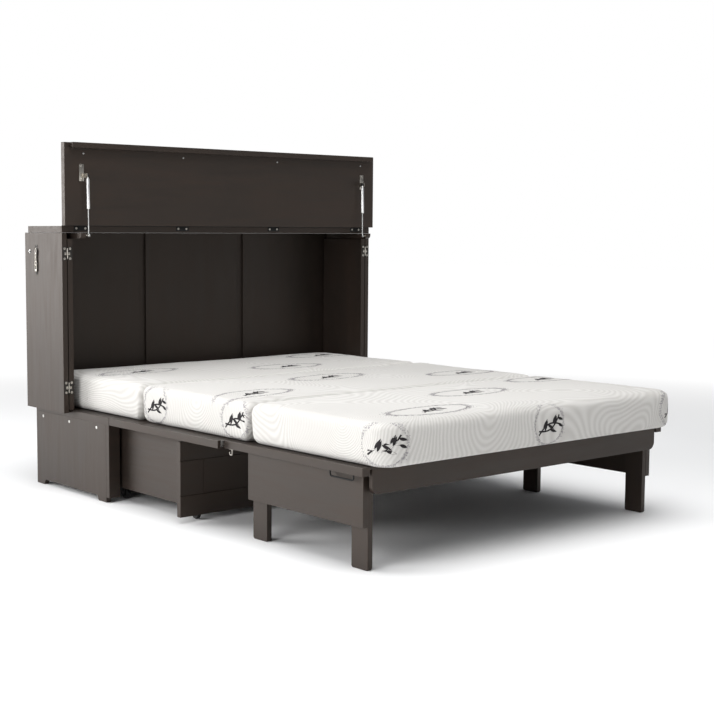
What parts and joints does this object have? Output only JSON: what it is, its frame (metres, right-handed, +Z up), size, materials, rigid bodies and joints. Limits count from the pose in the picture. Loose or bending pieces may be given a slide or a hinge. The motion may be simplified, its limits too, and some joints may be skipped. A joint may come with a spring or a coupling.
{
  "type": "murphy cabinet bed",
  "caption": "Queen cabinet bed shown open: half-depth wooden cabinet on a drawer base, fold-out platforms with folding legs, lift-up flap and a tri-fold mattress.",
  "frame": {"origin": "on the floor, under the middle of the open bed", "axes": "+Z up, -Y from the cabinet towards the foot end, +X towards the right of the cabinet seen from the foot"},
  "size_m": [1.6952, 2.126, 1.4265],
  "materials": {
    "wood_panel": "grey-brown stained hardwood with a fine straight grain and a satin lacquer",
    "wood_inside": "the same stain, darker and flatter, on the inside panels",
    "nickel": "nickel-plated hinges, screws and gas spring cylinders",
    "black_metal": "black enamelled handles, plates and caster bars, dark spring rods",
    "caster": "dull black caster wheels",
    "knit": "white quilted knit mattress cover with pale grey wavy ribs"
  },
  "bodies": {
    "cabinet": {"base_side_left": "wood_panel", "base_side_right": "wood_panel", "head_rail_left": "wood_panel", "head_rail_right": "wood_panel", "base_back": "wood_inside", "face_frame": "wood_panel", "head_deck": "wood_inside", "side_panel_left": "wood_panel", "side_panel_right": "wood_panel", "top_slab": "wood_panel", "back_wall": "wood_inside", "wing_hinge_left_1": "nickel", "wing_hinge_left_2": "nickel", "wing_hinge_right_1": "nickel", "wing_hinge_right_2": "nickel", "strut_block_left": "wood_panel", "strut_block_right": "wood_panel", "latch_plate_left": "wood_panel", "latch_plate_right": "wood_panel"},
    "flap": {"flap_panel": "wood_panel", "flap_lip": "wood_panel", "strut_bracket_left": "nickel", "strut_bracket_right": "nickel"},
    "strut_cylinder_left": {"strut_cylinder_left": "nickel"},
    "strut_cylinder_right": {"strut_cylinder_right": "nickel"},
    "strut_rod_left": {"strut_rod_left": "black_metal"},
    "strut_rod_right": {"strut_rod_right": "black_metal"},
    "wing_left": {"wing_left": "wood_panel"},
    "wing_right": {"wing_right": "wood_panel"},
    "latch_lever_left": {"latch_lever_left": "nickel"},
    "latch_lever_right": {"latch_lever_right": "nickel"},
    "drawer": {"drawer_front": "wood_panel", "drawer_side_left": "wood_panel", "drawer_side_right": "wood_panel", "drawer_back": "wood_panel", "drawer_bottom": "wood_panel", "caster_bar_front": "black_metal", "caster_bar_rear": "black_metal"},
    "wheel_front_left": {"wheel_front_left": "caster"},
    "wheel_front_right": {"wheel_front_right": "caster"},
    "wheel_rear_left": {"wheel_rear_left": "caster"},
    "wheel_rear_right": {"wheel_rear_right": "caster"},
    "platform": {"platform_panel": "wood_panel", "platform_rail_left": "wood_panel", "platform_rail_right": "wood_panel"},
    "foot_platform": {"foot_platform_deck": "wood_inside", "foot_platform_rail_left": "wood_panel", "foot_platform_rail_right": "wood_panel", "foot_rail": "wood_panel", "handle_left": "black_metal", "handle_right": "black_metal"},
    "leg_frame_left": {"apron_left": "wood_panel", "leg_front_left": "wood_panel", "leg_rear_left": "wood_panel"},
    "leg_frame_right": {"apron_right": "wood_panel", "leg_front_right": "wood_panel", "leg_rear_right": "wood_panel"},
    "mattress_head": {"mattress_head": "knit"},
    "mattress_middle": {"mattress_middle": "knit"},
    "mattress_foot": {"mattress_foot": "knit"}
  },
  "joints": [
    {"name": "flap_hinge", "type": "hinge", "parent": "cabinet", "child": "flap", "pos_m": [0, 0.7515, 1.093], "axis": [1, 0, 0], "range_deg": [0, 90]},
    {"name": "strut_pivot_left", "type": "hinge", "parent": "flap", "child": "strut_cylinder_left", "pos_m": [-0.746, 0.7015, 1.295], "axis": [1, 0, 0], "range_deg": [0, 6.15]},
    {"name": "strut_stroke_left", "type": "slide", "parent": "strut_cylinder_left", "child": "strut_rod_left", "axis": [0, 0.0167, 0.9999], "range_m": [0, 0.09613]},
    {"name": "strut_pivot_right", "type": "hinge", "parent": "flap", "child": "strut_cylinder_right", "pos_m": [0.746, 0.7015, 1.295], "axis": [1, 0, 0], "range_deg": [0, 6.15]},
    {"name": "strut_stroke_right", "type": "slide", "parent": "strut_cylinder_right", "child": "strut_rod_right", "axis": [0, 0.0167, 0.9999], "range_m": [0, 0.09613]},
    {"name": "wing_hinge_left", "type": "hinge", "parent": "cabinet", "child": "wing_left", "pos_m": [-0.814, 0.7515, 0.692], "axis": [0, 0, -1], "range_deg": [0, 180]},
    {"name": "wing_hinge_right", "type": "hinge", "parent": "cabinet", "child": "wing_right", "pos_m": [0.814, 0.7515, 0.692], "axis": [0, 0, 1], "range_deg": [0, 180]},
    {"name": "latch_pivot_left", "type": "hinge", "parent": "cabinet", "child": "latch_lever_left", "pos_m": [-0.8476, 0.963, 0.905], "axis": [0, -1, 0], "range_deg": [0, 60]},
    {"name": "latch_pivot_right", "type": "hinge", "parent": "cabinet", "child": "latch_lever_right", "pos_m": [0.8476, 0.963, 0.905], "axis": [0, 1, 0], "range_deg": [0, 60]},
    {"name": "drawer_slide", "type": "slide", "parent": "cabinet", "child": "drawer", "axis": [0, 1, 0], "range_m": [0, 0.466]},
    {"name": "wheel_spin_front_left", "type": "hinge", "parent": "drawer", "child": "wheel_front_left", "pos_m": [-0.6917, 0.029, 0.02], "axis": [-1, 0, 0], "continuous": true},
    {"name": "wheel_spin_front_right", "type": "hinge", "parent": "drawer", "child": "wheel_front_right", "pos_m": [0.6917, 0.029, 0.02], "axis": [-1, 0, 0], "continuous": true},
    {"name": "wheel_spin_rear_left", "type": "hinge", "parent": "drawer", "child": "wheel_rear_left", "pos_m": [-0.6917, 0.5207, 0.02], "axis": [-1, 0, 0], "continuous": true},
    {"name": "wheel_spin_rear_right", "type": "hinge", "parent": "drawer", "child": "wheel_rear_right", "pos_m": [0.6917, 0.5207, 0.02], "axis": [-1, 0, 0], "continuous": true},
    {"name": "platform_fold", "type": "hinge", "parent": "cabinet", "child": "platform", "pos_m": [0, 0.47, 0.34], "axis": [-1, 0, 0], "range_deg": [0, 90]},
    {"name": "foot_fold", "type": "hinge", "parent": "platform", "child": "foot_platform", "pos_m": [0, -0.256, 0.34025], "axis": [-1, 0, 0], "range_deg": [0, 180]},
    {"name": "leg_fold_left", "type": "hinge", "parent": "foot_platform", "child": "leg_frame_left", "pos_m": [-0.723, -0.637, 0.305], "axis": [0, -1, 0], "range_deg": [0, 90]},
    {"name": "leg_fold_right", "type": "hinge", "parent": "foot_platform", "child": "leg_frame_right", "pos_m": [0.723, -0.637, 0.305], "axis": [0, 1, 0], "range_deg": [0, 90]},
    {"name": "head_section_tilt", "type": "hinge", "parent": "cabinet", "child": "mattress_head", "pos_m": [0, 0.9383, 0.3957], "axis": [-1, 0, 0], "range_deg": [0, 90], "deforming": ["mattress_head"]},
    {"name": "middle_section_shift", "type": "slide", "parent": "platform", "child": "mattress_middle", "axis": [0, 0.8524, 0.5228], "range_m": [0, 0.17597], "deforming": ["mattress_middle"]},
    {"name": "foot_section_fold", "type": "hinge", "parent": "mattress_middle", "child": "mattress_foot", "pos_m": [0, -0.372, 0.4927], "axis": [-1, 0, 0], "range_deg": [0, 180], "deforming": ["mattress_foot"]}
  ],
  "couplings": [
    {"joint": "strut_pivot_left", "follows": "flap_hinge", "ratio": 0.062114},
    {"joint": "strut_stroke_left", "follows": "flap_hinge", "m_per_rad": 0.058281},
    {"joint": "strut_pivot_right", "follows": "flap_hinge", "ratio": 0.062114},
    {"joint": "strut_stroke_right", "follows": "flap_hinge", "m_per_rad": 0.058281},
    {"joint": "wheel_spin_front_left", "follows": "drawer_slide", "rad_per_m": 50},
    {"joint": "wheel_spin_front_right", "follows": "drawer_slide", "rad_per_m": 50},
    {"joint": "wheel_spin_rear_left", "follows": "drawer_slide", "rad_per_m": 50},
    {"joint": "wheel_spin_rear_right", "follows": "drawer_slide", "rad_per_m": 50},
    {"joint": "leg_fold_left", "follows": "foot_fold", "ratio": 0.5},
    {"joint": "leg_fold_right", "follows": "foot_fold", "ratio": 0.5},
    {"joint": "head_section_tilt", "follows": "foot_fold", "ratio": 0.5},
    {"joint": "middle_section_shift", "follows": "foot_fold", "m_per_rad": 0.056011},
    {"joint": "foot_section_fold", "follows": "foot_fold", "ratio": 1}
  ]
}
